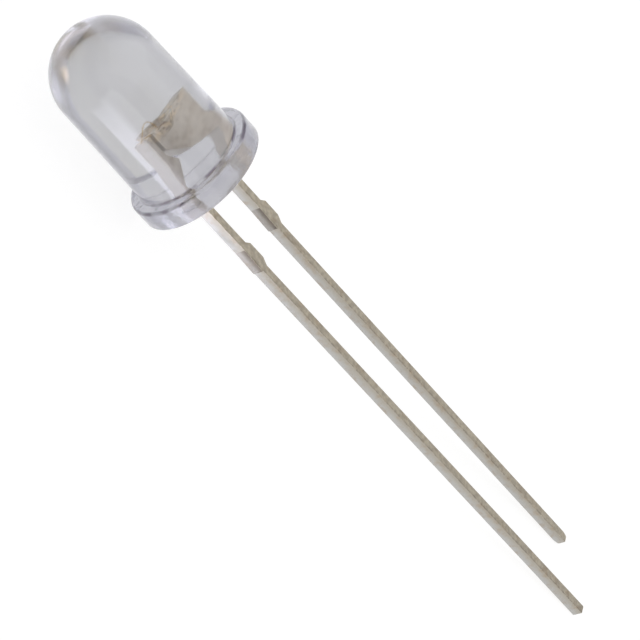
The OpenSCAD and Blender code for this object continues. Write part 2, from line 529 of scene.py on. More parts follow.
def grain_group() -> NodeTree:
    """Builds the group for drawn grain and mottle, which run along the LED's own axis.

    Returns:
        The node group, with outputs Streak, Mottle and Height.
    """
    usual = {"Streak Scale": 18.0, "Stretch": 0.06, "Mottle Scale": 2.2, "Streak Height": 0.5}
    g = ShaderGroup("grain_and_mottle", usual, ("Streak", "Mottle", "Height"))
    place = g.place()
    stretch = g.add("ShaderNodeCombineXYZ", {"X": 1.0, "Y": 1.0, "Z": g.given["Stretch"]})
    drawn = g.add("ShaderNodeVectorMath", {0: place, 1: stretch.outputs["Vector"]}, operation="MULTIPLY")
    streak = g.noise(drawn.outputs["Vector"], g.given["Streak Scale"], detail=6, rough=0.6)
    mottle = g.noise(place, g.given["Mottle Scale"], detail=5, rough=0.6)
    height = g.math("MULTIPLY_ADD", streak, g.given["Streak Height"], mottle)
    g.feed(g.result, {"Streak": streak, "Mottle": mottle, "Height": height})
    return g.tree


def wear_group(sizes: LedSizes) -> NodeTree:
    """Builds the group for the stamped edges: the burr line on the rolled faces, which also paints shade along
    that one edge, and how far across a sheared one, along which the sheared and cut faces' painted shade and light
    run.

    Args:
        sizes: The driving sizes, which the group's usual values come from.

    Returns:
        The node group, with outputs Burr, Across and Worn.
    """
    usual = {
        "Lead X": sizes.lead_x,
        "Half Width": sizes.lead_w / 2,
        "Half Thickness": sizes.strip_t / 2,
        "Burr Reach": 0.09,
        "Burr Least": 0.4,
        "Worn Reach": 0.05,
        "Breakup": 6.0,
    }
    g = ShaderGroup("stamped_edges", usual, ("Burr", "Across", "Worn"))
    place = g.place()
    x, y, _ = g.axes(place)
    # the burr line: a dark band along one long edge of each lead, both a burr and painted shade along that edge
    side = g.product(g.math("SIGN", x), g.given["Lead X"])
    offset = g.math("ADD", g.math("SUBTRACT", x, side), g.given["Half Width"])
    near = g.math("DIVIDE", g.math("ABSOLUTE", offset), g.given["Burr Reach"])
    burr_and_shade = g.math("SUBTRACT", 1.0, near, clamp=True)
    across = g.math("MULTIPLY_ADD", g.math("DIVIDE", y, g.given["Half Thickness"]), 0.5, 0.5, clamp=True)
    depth = g.math("SUBTRACT", g.given["Half Thickness"], g.math("ABSOLUTE", y))
    rim = g.math("SUBTRACT", 1.0, g.math("DIVIDE", depth, g.given["Worn Reach"]), clamp=True)
    uneven = (0.35, 0.65)
    broken = g.remap(g.noise(place, g.given["Breakup"], detail=4, rough=0.6), uneven)
    least = g.given["Burr Least"]
    kept = g.math("MULTIPLY_ADD", broken, g.math("SUBTRACT", 1.0, least), least)
    g.feed(g.result, {"Burr": g.product(burr_and_shade, kept), "Across": across, "Worn": g.product(rim, broken)})
    return g.tree


@dataclass(frozen=True)
class ClearEpoxy:
    """Clear cast epoxy with a slight haze. Its grey tint is painted shade: it darkens all that is seen through the
    clear lens, standing in for a darker backdrop.

    The thick flange has a violet cast and is cast less evenly. The broken dark streaks along its root and its
    front edge are painted dark reflections, laid in the root's corner and along the front edge.
    """

    # painted shade: this grey tint stands in for a darker backdrop seen through the clear lens
    tint_and_shade: Color = rgb(191, 191, 193)
    # the flange's violet cast, over the same painted grey shade
    flange_tint_and_shade: Color = rgb(187, 187, 195)
    # painted dark reflections: the mauve of the streaks at the flange's root and front edge
    streak: Color = rgb(88, 76, 92)
    flange_end: Span = (1.15, 1.0)
    root_painted_reflection: tuple[Span, Span] = ((1.0, 1.03), (1.13, 1.07))
    edge_painted_reflection: tuple[Span, Span] = ((0.84, 0.9), (0.999, 0.97))
    patch_scale: float = 1.0
    patch_band: Span = (0.48, 0.58)
    roughness: float = 0.12
    ior: float = 1.53
    clarity: float = 0.97
    wave: float = 0.09
    wave_depth: float = 0.1
    flange_wave: float = 8.0

    def build(self, grain: NodeTree) -> Material:
        """Makes the material, which lets the lamps' light through to what is inside.

        Args:
            grain: The grain group.

        Returns:
            The material.
        """
        plain = {"Roughness": self.roughness, "IOR": self.ior, "Transmission Weight": self.clarity}
        g = Surface("clear_epoxy", plain)
        place = g.place()
        height = g.axes(place)[2]
        flange = g.remap(height, self.flange_end)
        # painted dark reflections: bands at the root's corner and along the front edge, broken up by a noise
        painted_reflections = g.math("ADD", g.between(height, *self.root_painted_reflection), g.between(height, *self.edge_painted_reflection))
        patch = g.remap(g.noise(place, self.patch_scale, detail=2, rough=0.5), self.patch_band)
        # both grey tints paint in the shade of a darker backdrop seen through the lens
        color = g.blend(flange, self.tint_and_shade, self.flange_tint_and_shade)
        color = g.blend(g.product(painted_reflections, patch), color, self.streak)
        g.feed(g.shader, {"Base Color": color})
        cast = g.grain(grain, streak=1.2, stretch=0.5, mottle=0.7, height=0.4)
        flow = g.math("MULTIPLY_ADD", flange, self.flange_wave, 1.0)
        g.relief(g.product(cast.outputs["Height"], flow), self.wave, self.wave_depth)
        shadow = g.add("ShaderNodeLightPath").outputs["Is Shadow Ray"]
        through = g.add("ShaderNodeBsdfTransparent", {"Color": self.tint_and_shade}).outputs["BSDF"]
        mix = g.add("ShaderNodeMixShader", {0: shadow, 1: g.shader.outputs["BSDF"], 2: through})
        g.feed(g.tree.nodes["Material Output"], {"Surface": mix.outputs["Shader"]})
        return g.material


@dataclass(frozen=True)
class PlatedSteel:
    """Tin plated steel strip: rolled faces, sheared edges and bare cut ends, with silver inside the lens."""

    rolled: Color = rgb(193, 184, 161)
    # burr line, which is also painted shade along one long edge of the rolled faces
    burr_and_shade: Color = rgb(126, 118, 104)
    burr_and_shade_share: float = 0.75
    # painted shading: each sheared face runs from this darker fracture band on its ridge side to the lighter
    # burnish band, partly a stamped edge's real bands and partly painted shade and painted light
    fracture_and_shade: Color = rgb(172, 166, 154)
    burnish_and_light: Color = rgb(185, 184, 181)
    sheared_shading_band: Span = (0.0, 0.9)
    # painted shadow: the cut ends are darkest on their ridge side; this dark colour also serves the real worn
    # edges
    torn_and_shade: Color = rgb(116, 109, 98)
    cut: Color = rgb(168, 164, 158)
    cut_shading_band: Span = (0.05, 0.75)
    lens_entry: Span = (-0.1, 0.3)
    silvered: Color = rgb(232, 223, 204)
    silver_shade: Color = rgb(211, 198, 176)
    silver_edge: Color = rgb(222, 217, 207)
    silver_band: Span = (0.42, 0.66)
    silver_share: float = 0.6
    # plating and painted glints: the cream spots round the cup stand in for glints on its rim
    gilt_and_glint: Color = rgb(255, 232, 188)
    gilt_shade: Color = rgb(140, 118, 92)
    gilt_height: Span = (2.8, 3.45)
    gilt_width: Span = (1.3, 0.6)
    gilt_patch_scale: float = 3.0
    gilt_patch: Span = (0.42, 0.58)
    gilt_spot_scale: float = 6.5
    gilt_spot: Span = (0.44, 0.6)
    gilt_share: float = 0.75
    tarnish: Color = rgb(158, 134, 102)
    tarnish_band: Span = (0.46, 0.74)
    tarnish_share: float = 0.42
    cut_tarnish: float = -0.25
    worn_share: float = 0.35
    inside_calm: float = -0.75
    streak_band: Span = (0.3, 0.7)
    roughness: Span = (0.28, 0.46)
    cut_roughness: float = 0.2
    grain_strength: float = 0.35
    grain_depth: float = 0.02

    def skin_color(self, g: Surface, wear: Node, grain: Node, inside: NodeSocket) -> tuple[NodeSocket, NodeSocket]:
        """Colours the rolled, sheared and cut faces; across the sheared and cut faces it paints shade on the ridge
        side and light on the other.

        Args:
            g: The material.
            wear: The stamped edges group's node.
            grain: The grain group's node.
            inside: 1 inside the lens, 0 outside.

        Returns:
            The colour, and 1 on cut faces.
        """
        skin = g.attribute(SKIN_ATTRIBUTE).outputs["Fac"]
        is_sheared = g.remap(skin, Skin.SHEARED.reached)
        is_cut = g.remap(skin, Skin.CUT.reached)
        across = wear.outputs["Across"]
        outside = g.math("SUBTRACT", 1.0, inside)
        # the burr line paints shade along one edge as well as the burr
        line = g.product(wear.outputs["Burr"], self.burr_and_shade_share, outside)
        shade = g.product(g.remap(grain.outputs["Mottle"], self.silver_band), self.silver_share)
        silver = g.blend(shade, self.silvered, self.silver_shade)
        rolled = g.blend(inside, g.blend(line, self.rolled, self.burr_and_shade), silver)
        # painted shade and painted light across the sheared face, darker on the ridge side
        sheared = g.blend(g.remap(across, self.sheared_shading_band), self.fracture_and_shade, self.burnish_and_light)
        sheared = g.blend(inside, sheared, self.silver_edge)
        # painted shadow along the ridge side of each cut end
        cut = g.blend(g.remap(across, self.cut_shading_band), self.torn_and_shade, self.cut)
        return g.blend(is_cut, g.blend(is_sheared, rolled, sheared), cut), is_cut

    def cup_color(self, g: Surface, place: NodeSocket, color: NodeSocket) -> NodeSocket:
        """Lays the cup's spotty warm plating over the top of the lead frame. Its cream spots are painted glints
        round the cup's rim as well as plating.

        Args:
            g: The material.
            place: The place in the upright LED.
            color: The colour so far.

        Returns:
            The colour with the plating on it.
        """
        x, _, z = g.axes(place)
        near = g.product(g.remap(z, self.gilt_height), g.remap(g.math("ABSOLUTE", x), self.gilt_width))
        patch = g.remap(g.noise(place, self.gilt_patch_scale, detail=4, rough=0.6), self.gilt_patch)
        spot = g.remap(g.noise(place, self.gilt_spot_scale, detail=3, rough=0.6), self.gilt_spot)
        # the cream spots are painted glints as well as plating
        gilt_and_glint = g.blend(spot, self.gilt_and_glint, self.gilt_shade)
        return g.blend(g.product(patch, self.gilt_share, near), color, gilt_and_glint)

    def build(self, grain_tree: NodeTree, wear_tree: NodeTree) -> Material:
        """Makes the material.

        Args:
            grain_tree: The grain group.
            wear_tree: The stamped edges group.

        Returns:
            The material.
        """
        g = Surface("plated_steel", {"Metallic": 1.0})
        grain = g.grain(grain_tree, streak=16.0, stretch=0.05, mottle=2.6, height=0.6)
        wear = g.add("ShaderNodeGroup", {"Breakup": 5.0}, node_tree=wear_tree)
        place = g.place()
        inside = g.remap(g.axes(place)[2], self.lens_entry)
        calm = g.math("MULTIPLY_ADD", inside, self.inside_calm, 1.0)
        color, is_cut = self.skin_color(g, wear, grain, inside)
        color = self.cup_color(g, place, color)
        spots = g.remap(grain.outputs["Mottle"], self.tarnish_band)
        share = g.math("MULTIPLY_ADD", is_cut, self.cut_tarnish, self.tarnish_share)
        color = g.blend(g.product(spots, share, calm), color, self.tarnish)
        color = g.blend(g.product(wear.outputs["Worn"], self.worn_share, calm), color, self.torn_and_shade)
        rough = g.remap(grain.outputs["Streak"], self.streak_band, self.roughness)
        rough = g.math("MULTIPLY_ADD", is_cut, self.cut_roughness, rough)
        g.feed(g.shader, {"Base Color": color, "Roughness": rough})
        g.relief(g.product(grain.outputs["Height"], calm), self.grain_strength, self.grain_depth)
        return g.material


@dataclass(frozen=True)
class FineFinish:
    """A small inner piece's finish: one colour with mottle."""

    name: str
    color: Color
    second: Color
    metallic: float
    roughness: Span
    scale: float
    mottle_band: Span = (0.35, 0.65)
    streak_band: Span = (0.3, 0.7)
    grain_strength: float = 0.25
    grain_depth: float = 0.003

    def build(self, grain_tree: NodeTree) -> Material:
        """Makes the material.

        Args:
            grain_tree: The grain group.

        Returns:
            The material.
        """
        g = Surface(self.name, {"Metallic": self.metallic})
        grain = g.grain(grain_tree, streak=self.scale * 2, stretch=1.0, mottle=self.scale, height=0.5)
        color = g.blend(g.remap(grain.outputs["Mottle"], self.mottle_band), self.color, self.second)
        rough = g.remap(grain.outputs["Streak"], self.streak_band, self.roughness)
        g.feed(g.shader, {"Base Color": color, "Roughness": rough})
        g.relief(grain.outputs["Height"], self.grain_strength, self.grain_depth)
        return g.material


class Finishes:
    """Every finish of the LED, built once."""

    def __init__(self, sizes: LedSizes) -> None:
        """Builds the shared groups and the materials.

        Args:
            sizes: The driving sizes.
        """
        grain = grain_group()
        self.epoxy = ClearEpoxy().build(grain)
        self.steel = PlatedSteel().build(grain, wear_group(sizes))
        self.chip, self.pad, self.glue, self.gold = (finish.build(grain) for finish in (
            FineFinish("chip_crystal", rgb(70, 74, 60), rgb(96, 98, 78), 0.0, (0.15, 0.3), 20.0),
            FineFinish("pad_metal", rgb(232, 196, 120), rgb(214, 176, 104), 1.0, (0.25, 0.4), 40.0),
            FineFinish("silver_epoxy", rgb(188, 188, 184), rgb(150, 150, 146), 0.7, (0.4, 0.6), 30.0),
            FineFinish("gold_wire", rgb(244, 214, 148), rgb(236, 200, 128), 1.0, (0.18, 0.3), 25.0),
        ))


@dataclass(frozen=True)
class Bench:
    """What the pieces are made with: the CAD nodes, the rest pose and the finishes."""

    nodes: dict[str, Object]
    pose: Matrix
    finishes: Finishes

    def lay_down(self, mesh: Mesh, name: str, slot: str, replaced: str = "") -> Object:
        """Lays a finished mesh down at rest and makes it a piece of the LED.

        Args:
            mesh: The mesh, upright.
            name: Name of the piece.
            slot: Name of a material slot; not used.
            replaced: The CAD node that the piece stands for, if it stands for one.

        Returns:
            The piece.
        """
        keep_led_place(mesh)
        mesh.transform(self.pose)
        piece = new_piece(name, mesh)
        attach(piece, BODY)
        if replaced:
            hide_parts(replaced)
        return piece


@dataclass(frozen=True)
class ClearLens:
    """The epoxy casting: dome, tapered barrel and flange, with the cast back face."""

    sizes: LedSizes
    segments: int = 256
    dome_steps: int = 48
    barrel_steps: int = 12
    edge_steps: int = 8
    back_edge_steps: int = 4
    back_steps: int = 64
    back_edge_r: float = 0.04
    dish: float = 0.05
    dish_power: float = 6.0
    meniscus: float = 0.12
    meniscus_reach: float = 0.16
    meniscus_fall: float = 2.5
    flat: float = 1e-6

    def profile(self) -> list[Vector]:
        """Draws the lens's half section from the middle of its back face to the top of the dome.

        Returns:
            Points of radius and height.
        """
        s = self.sizes
        edge = s.flange_r - self.back_edge_r
        points = [Vector((edge * i / self.back_steps, 0.0)) for i in range(self.back_steps)]
        points += arc(Vector((edge, self.back_edge_r)), self.back_edge_r, -90, 0, self.back_edge_steps)
        round_z = s.flange_t - s.flange_edge_r
        points.append(Vector((s.flange_r, (self.back_edge_r + round_z) / 2)))
        points += arc(Vector((s.flange_r - s.flange_edge_r, round_z)), s.flange_edge_r, 0, 90, self.edge_steps)
        root = Vector((s.barrel_r + s.root_r, s.flange_t + s.root_r))
        points += arc(root, s.root_r, -90, -180 + s.barrel_draft, self.edge_steps)
        top = Vector((0.0, s.dome_z))
        foot = points[-1]
        first = top + s.dome_r * Vector((math.cos(s.draft), math.sin(s.draft)))
        points += [foot.lerp(first, i / self.barrel_steps) for i in range(1, self.barrel_steps)]
        points += arc(top, s.dome_r, s.barrel_draft, 90, self.dome_steps)
        return points

    def profile_mesh(self) -> Mesh:
        """Turns the half section into a mesh of points, with radius on X and height on Z.

        Returns:
            The mesh.
        """
        mesh = bpy.data.meshes.new("lens_profile")
        mesh.from_pydata([(p.x * MM, 0.0, p.y * MM) for p in self.profile()], [], [])
        return mesh

    def tree(self, material: Material) -> Tree:
        """Builds the tree that turns the half section round the axis and shapes the back face.

        Args:
            material: The lens's material.

        Returns:
            The tree.
        """
        s = self.sizes
        t = Tree("lens_turning", {
            "Segments": self.segments,
            "Merge": MERGE,
            "Back Radius": (s.flange_r - self.back_edge_r) * MM,
            "Dish": self.dish * MM,
            "Meniscus": self.meniscus * MM,
            "Reach": self.meniscus_reach * MM,
            "Lead X": s.lead_x * MM,
            "Half Width": s.lead_w / 2 * MM,
            "Half Thickness": s.strip_t / 2 * MM,
        })
        source = t.given["Geometry"]
        segments = t.given["Segments"]
        count = t.add("GeometryNodeAttributeDomainSize", {"Geometry": source}, component="MESH")
        steps = count.outputs["Point Count"]
        columns = t.math("ADD", segments, 1.0)
        grid = t.add("GeometryNodeMeshGrid", {"Vertices X": columns, "Vertices Y": steps})
        index = t.add("GeometryNodeInputIndex").outputs["Index"]
        row = t.math("MODULO", index, steps)
        column = t.math("FLOOR", t.math("DIVIDE", index, steps))
        angle = t.product(t.math("DIVIDE", column, segments), math.tau)
        sampled = {"Geometry": source, "Value": t.place(), "Index": row}
        sample = t.add("GeometryNodeSampleIndex", sampled, data_type="FLOAT_VECTOR", domain="POINT")
        turning = {"Vector": sample.outputs["Value"], "Angle": angle}
        turn = t.add("ShaderNodeVectorRotate", turning, rotation_type="Z_AXIS").outputs["Vector"]
        turned = t.add("GeometryNodeSetPosition", {"Geometry": grid.outputs["Mesh"], "Position": turn})
        merging = {"Geometry": turned.outputs["Geometry"], "Distance": t.given["Merge"]}
        merged = t.add("GeometryNodeMergeByDistance", merging)
        t.finish(self.back_face(t, merged.outputs["Geometry"]), material)
        return t

    def back_face(self, t: Tree, geometry: NodeSocket) -> NodeSocket:
        """Adds the nodes that dish the cast back face and let it climb a little on both leads.

        Args:
            t: The tree.
            geometry: The turned lens.

        Returns:
            The geometry with its back face shaped.
        """
        x, y, z = t.axes(t.place())
        back = t.given["Back Radius"]
        radius = t.length(x, y)
        inward = t.math("SUBTRACT", 1.0, t.math("POWER", t.math("DIVIDE", radius, back), self.dish_power))
        lift = t.product(t.given["Dish"], inward)
        out_x = t.math("SUBTRACT", t.math("ABSOLUTE", x), t.given["Lead X"])
        gap = t.length(*(
            t.math("MAXIMUM", t.math("SUBTRACT", t.math("ABSOLUTE", side), t.given[half]), 0.0)
            for side, half in ((out_x, "Half Width"), (y, "Half Thickness"))
        ))
        fade = t.math("EXPONENT", t.product(t.math("DIVIDE", gap, t.given["Reach"]), -self.meniscus_fall))
        drop = t.product(t.given["Meniscus"], fade)
        offset = t.add("ShaderNodeCombineXYZ", {"Z": t.math("SUBTRACT", lift, drop)}).outputs["Vector"]
        chosen = t.product(t.math("LESS_THAN", z, self.flat), t.math("LESS_THAN", radius, back))
        shaped = {"Geometry": geometry, "Selection": chosen, "Offset": offset}
        return t.add("GeometryNodeSetPosition", shaped).outputs["Geometry"]

    def build(self, bench: Bench) -> list[Object]:
        """Builds the lens and gives it as the only piece."""
        mesh = self.tree(bench.finishes.epoxy).run(self.profile_mesh())
        return [bench.lay_down(mesh, "clear_lens", "clear_epoxy", "lens")]


@dataclass(frozen=True)
class StampedLead:
    """One half of the lead frame, from its CAD node, with rolled, sheared and cut faces told apart."""

    sizes: LedSizes
    name: str
    node: str
    length: float
    tip_round: float = 0.0
    tip_flat: float = 0.5
    tip_cuts: int = 6
    flat_angle: float = 0.3
    edge_angle: float = 25.0
    edge_r: float = 0.02
    edge_steps: int = 3
    rolled_lean: float = 0.8
    bulge: float = 0.01

    def build(self, bench: Bench) -> list[Object]:
        """Copies the CAD node, rounds its edges and dresses it.

        Args:
            bench: What the pieces are made with.

        Returns:
            The lead as the only piece.
        """
        mesh = bench.nodes[self.node].data.copy()
        mesh.materials.clear()
        mesh.materials.append(bench.finishes.steel)
        mesh.transform(bench.pose.inverted())
        flat = math.radians(self.flat_angle)
        with shaping(mesh) as work:
            bmesh.ops.remove_doubles(work, verts=work.verts, dist=MERGE)
            bmesh.ops.dissolve_limit(work, angle_limit=flat, verts=work.verts, edges=work.edges)
            if self.tip_round:
                self.round_tip(work)
        mesh.shade_smooth()
        rough = new_piece(self.name + "_rough", mesh)
        bevel = rough.modifiers.new("edge", "BEVEL")
        bevel.width = self.edge_r * MM
        bevel.segments = self.edge_steps
        bevel.limit_method = "ANGLE"
        bevel.angle_limit = math.radians(self.edge_angle)
        bevel.harden_normals = False
        rough.modifiers.new("normals", "WEIGHTED_NORMAL").keep_sharp = True
        done = applied(rough)
        self.mark_skin(done)
        return [bench.lay_down(done, self.name, "plated_steel", self.node)]

    def round_tip(self, work: bmesh.types.BMesh) -> None:
        """Draws the lead's end in to a blunt round nose, as a worn cutter leaves it.

        Args:
            work: The lead in the upright LED's frame, in metres.
        """
        end, reach = -self.length * MM, self.tip_round * MM
        for i in range(1, self.tip_cuts + 1):
            height = reach * (1 - math.cos(math.pi / 2 * i / (self.tip_cuts + 1)))
            cut = {"plane_co": (0, 0, end + height), "plane_no": (0, 0, 1)}
            bmesh.ops.bisect_plane(work, geom=work.verts[:] + work.edges[:] + work.faces[:], dist=MERGE, **cut)
        nose = [v for v in work.verts if v.co.z < end + reach]
        middle = sum(v.co.x for v in nose) / len(nose)
        for v in nose:
            rise = 1 - (v.co.z - end) / reach
            keep = self.tip_flat + (1 - self.tip_flat) * math.sqrt(max(0.0, 1 - rise * rise))
            v.co.x = middle + (v.co.x - middle) * keep
            v.co.y *= keep

    def mark_skin(self, mesh: Mesh) -> None:
        """Marks each face as rolled, sheared or cut.

        Args:
            mesh: The lead in the upright LED's frame, in metres.
        """
        s = self.sizes
        values = []
        for face in mesh.polygons:
            centre = face.center / MM
            bulged = abs(centre.y) > s.strip_t / 2 - self.bulge
            kind = Skin.ROLLED if abs(face.normal.y) > self.rolled_lean or bulged else Skin.SHEARED
            top = -s.stub_drop - s.cut_drop
            stub = top > centre.z > top - s.cut_len
            if kind is Skin.SHEARED and (stub or centre.z < -self.length + s.tip_chamfer):
                kind = Skin.CUT
            values.append(kind.value)
        mesh.attributes.new(SKIN_ATTRIBUTE, "FLOAT", "FACE").data.foreach_set("value", values)


@dataclass(frozen=True)
class LedChip:
    """The chip with its bond pad, and the silver epoxy that holds it."""

    sizes: LedSizes
    sides: int = 48
    corner_r: float = 0.006
    pad_r: float = 0.055
    pad_h: float = 0.004
    pad_sink: float = 0.002
    pad_rim: Span = (0.92, 0.6)
    glue_gap: float = 0.02
    glue_rim: Span = (0.97, 0.6)
    glue_shoulder: float = 0.93
    glue_square: float = 0.75
    glue_corner: float = 1.25
    fillet: float = 0.05
    fillet_steps: int = 4
    fillet_t: float = 0.004
    tuck: float = 0.01

    def chip_mesh(self) -> Mesh:
        """Builds the sawn chip, with slightly softened edges.

        Returns:
            The mesh.
        """
        s = self.sizes
        size = Matrix.Diagonal((s.die_w * MM, s.die_w * MM, s.die_h * MM, 1))
        mesh = bpy.data.meshes.new("led_chip")
        with shaping(mesh) as work:
            bmesh.ops.create_cube(work, size=1.0)
            work.transform(Matrix.Translation((0, 0, (s.die_z + s.die_h / 2) * MM)) @ size)
            soft = {"offset": self.corner_r * MM, "segments": 2, "affect": "EDGES", "profile": 0.5}
            bmesh.ops.bevel(work, geom=work.edges[:], **soft)
        return mesh

    def turned_mesh(self, points: list[Span], square: float = 0.0) -> Mesh:
        """Turns a half section round the axis, and draws it out towards a square if asked.

        Args:
            points: Radius and height of each ring, from the bottom up.
            square: 0 for a round outline, up to 1 for a square one.

        Returns:
            The closed mesh.
        """
        mesh = bpy.data.meshes.new("turned")
        with shaping(mesh) as work:
            rings = []
            for radius, height in points:
                ring = []
                for i in range(self.sides):
                    a = math.tau * i / self.sides
                    stretch = 1 / max(abs(math.cos(a)), abs(math.sin(a)))
                    reach = radius * (1 + square * (min(stretch, self.glue_corner) - 1))
                    place = (reach * math.cos(a) * MM, reach * math.sin(a) * MM, height * MM)
                    ring.append(work.verts.new(place))
                rings.append(ring)
            for low, high in zip(rings, rings[1:]):
                for i in range(self.sides):
                    j = (i + 1) % self.sides
                    work.faces.new((low[i], low[j], high[j], high[i]))
            work.faces.new(list(reversed(rings[0])))
            work.faces.new(rings[-1])
        return mesh

    def pad_mesh(self) -> Mesh:
        """Builds the thin round bond pad on the chip, with a rounded rim.

        Returns:
            The mesh.
        """
        top, (rim_r, rim_h) = self.sizes.die_top, self.pad_rim
        rings = [(self.pad_r, top - self.pad_sink), (self.pad_r, top + self.pad_h * rim_h)]
        return self.turned_mesh(rings + [(self.pad_r * rim_r, top + self.pad_h)])

    def glue_mesh(self) -> Mesh:
        """Builds the silver epoxy: a thin pad with a fillet that climbs the chip's sides.

        Returns:
            The mesh.
        """
        s = self.sizes
        half, floor = s.die_w / 2, s.cup_floor_z
        reach = s.cup_floor_r - self.glue_gap
        rim_r, rim_h = self.glue_rim
        rings = [(reach, floor), (reach * rim_r, floor + s.glue_t * rim_h)]
        for i in range(self.fillet_steps + 1):
            share = i / self.fillet_steps
            radius = half + (reach * self.glue_shoulder - half) * (1 - share) ** 2 + self.fillet_t
            rings.append((radius, s.die_z + self.fillet * share**1.5))
        rings.append((half - self.tuck, s.die_z + self.fillet))
        return self.turned_mesh(rings, self.glue_square)

    def build(self, bench: Bench) -> list[Object]:
        """Builds the chip, its bond pad and its glue.

        Args:
            bench: What the pieces are made with.

        Returns:
            The three pieces.
        """
        look = bench.finishes
        pieces = []
        for mesh, material, *names in (
            (self.chip_mesh(), look.chip, "led_chip", "chip", "die"),
            (self.pad_mesh(), look.pad, "chip_bond_pad", "chip"),
            (self.glue_mesh(), look.glue, "silver_glue", "silver_epoxy", "die_attach"),
        ):
            close_up(mesh)
            mesh.materials.append(material)
            pieces.append(bench.lay_down(mesh, *names))
        return pieces


@dataclass(frozen=True)
class BondWire:
    """The gold wire: a flattened ball on the chip, a round loop and a pressed stitch on the post.

    The ball is given as shares of its height and its radius, the stitch as shares of the pad's width and of
    the wire's radius.
    """

    sizes: LedSizes
    steps: int = 48
    first_step: int = 3
    sides: int = 16
    ball: tuple[Span, ...] = ((0.0, 0.5), (0.08, 0.86), (0.35, 1.0), (0.7, 0.88), (0.92, 0.6))
    neck: float = 1.05
    ball_clear: float = 1.3
    stitch: tuple[Span, ...] = ((0.0, 1.1), (0.16, 1.25), (0.25, 0.9))
    stitch_sink: float = 0.5
    stitch_share: float = 0.6
    landing_share: float = 0.4
    press_start: float = 0.94
    squeeze: float = 0.5
    spread: float = 0.7

    @property
    def wire_r(self) -> float:
        """Radius of the wire."""
        return self.sizes.wire_d / 2

    @property
    def stitch_z(self) -> float:
        """Height of the wire's middle on the post."""
        return self.sizes.anvil_top + self.wire_r * self.stitch_sink

    def path(self) -> list[tuple[Vector, float, float]]:
        """Follows the wire from the chip to the post.

        Returns:
            Each point with the wire's radius there and how far it is pressed flat.
        """
        s = self.sizes
        start = Vector((0, 0, s.die_top))
        end = Vector((s.strap_x - s.pad_w * self.stitch_share, 0, self.stitch_z))
        up = Vector((0, 0, s.anvil_top + s.loop_rise))
        down = Vector((s.strap_x + s.post_gap * self.landing_share, 0, self.stitch_z))
        rings = [(height, s.ball_d / 2 * share) for height, share in self.ball] + [(self.neck, self.wire_r)]
        points = [(start + Vector((0, 0, s.ball_h * height)), radius, 0.0) for height, radius in rings]
        for i in range(self.first_step, self.steps):
            t = i / self.steps
            u = 1 - t
            place = u**3 * start + 3 * u * u * t * up + 3 * u * t * t * down + t**3 * end
            past_middle = t > u
            if place.z > s.die_top + s.ball_h * self.ball_clear or past_middle:
                pressed = max(0.0, (t - self.press_start) / (1 - self.press_start))
                points.append((place, self.wire_r, pressed))
        for share, swell in self.stitch:
            points.append((end - Vector((s.pad_w * share, 0, 0)), self.wire_r * swell, 1.0))
        return points

    def path_mesh(self) -> Mesh:
        """Turns the path into a chain of edges that carries the radius and the flattening.

        Returns:
            The mesh.
        """
        rows = self.path()
        mesh = bpy.data.meshes.new("wire_path")
        mesh.from_pydata([p * MM for p, _, _ in rows], [(i, i + 1) for i in range(len(rows) - 1)], [])
        radius = mesh.attributes.new(RADIUS_ATTRIBUTE, "FLOAT", "POINT")
        radius.data.foreach_set("value", [r * MM for _, r, _ in rows])
        pressed = mesh.attributes.new(PRESSED_ATTRIBUTE, "FLOAT", "POINT")
        pressed.data.foreach_set("value", [k for _, _, k in rows])
        return mesh

    def tree(self, material: Material) -> Tree:
        """Builds the tree that sweeps the wire along its path and presses the stitch flat.

        Args:
            material: The wire's material.

        Returns:
            The tree.
        """
        sizes = {"Sides": self.sides, "Stitch Height": self.stitch_z * MM, "Squeeze": self.squeeze}
        t = Tree("wire_sweep", sizes)
        curve = t.add("GeometryNodeMeshToCurve", {"Mesh": t.given["Geometry"]})
        circle = {"Resolution": t.given["Sides"], "Radius": 1.0}
        ring = t.add("GeometryNodeCurvePrimitiveCircle", circle, mode="RADIUS")
        radius, pressed = (
            t.add("GeometryNodeInputNamedAttribute", {"Name": name}, data_type="FLOAT").outputs["Attribute"]
            for name in (RADIUS_ATTRIBUTE, PRESSED_ATTRIBUTE)
        )
        sweep = t.add("GeometryNodeCurveToMesh", {
            "Curve": curve.outputs["Curve"],
            "Profile Curve": ring.outputs["Curve"],
            "Scale": radius,
            "Fill Caps": True,
        })
        _, y, z = t.axes(t.place())
        above = t.math("SUBTRACT", z, t.given["Stitch Height"])
        pull = t.product(above, t.given["Squeeze"], pressed, -1.0)
        offset = t.add("ShaderNodeCombineXYZ", {"Y": t.product(y, self.spread, pressed), "Z": pull})
        moved = {"Geometry": sweep.outputs["Mesh"], "Offset": offset.outputs["Vector"]}
        t.finish(t.add("GeometryNodeSetPosition", moved).outputs["Geometry"], material)
        return t

    def build(self, bench: Bench) -> list[Object]:
        """Builds the wire and gives it as the only piece."""
        mesh = self.tree(bench.finishes.gold).run(self.path_mesh())
        return [bench.lay_down(mesh, "gold_wire", "gold_wire", "bond_wire")]


@dataclass(frozen=True)
class Lamp:
    """A softbox, with its place and size in metres."""

    name: str
    place: Place
    aim: Place
    size: Span
    power: float
    color: Place = (1.0, 1.0, 1.0)

    def build(self) -> None:
        """Makes the lamp and turns it to its aim."""
        data = bpy.data.lights.new(self.name, "AREA")
        data.shape = "RECTANGLE"
        data.size, data.size_y = self.size
        data.energy = self.power
        data.color = self.color
        lamp = bpy.data.objects.new(self.name, data)
        bpy.context.scene.collection.objects.link(lamp)
        lamp.location = self.place
        lamp.rotation_mode = "QUATERNION"
        lamp.rotation_quaternion = (Vector(self.aim) - Vector(self.place)).to_track_quat("-Z", "Y")
        lamp.visible_camera = False


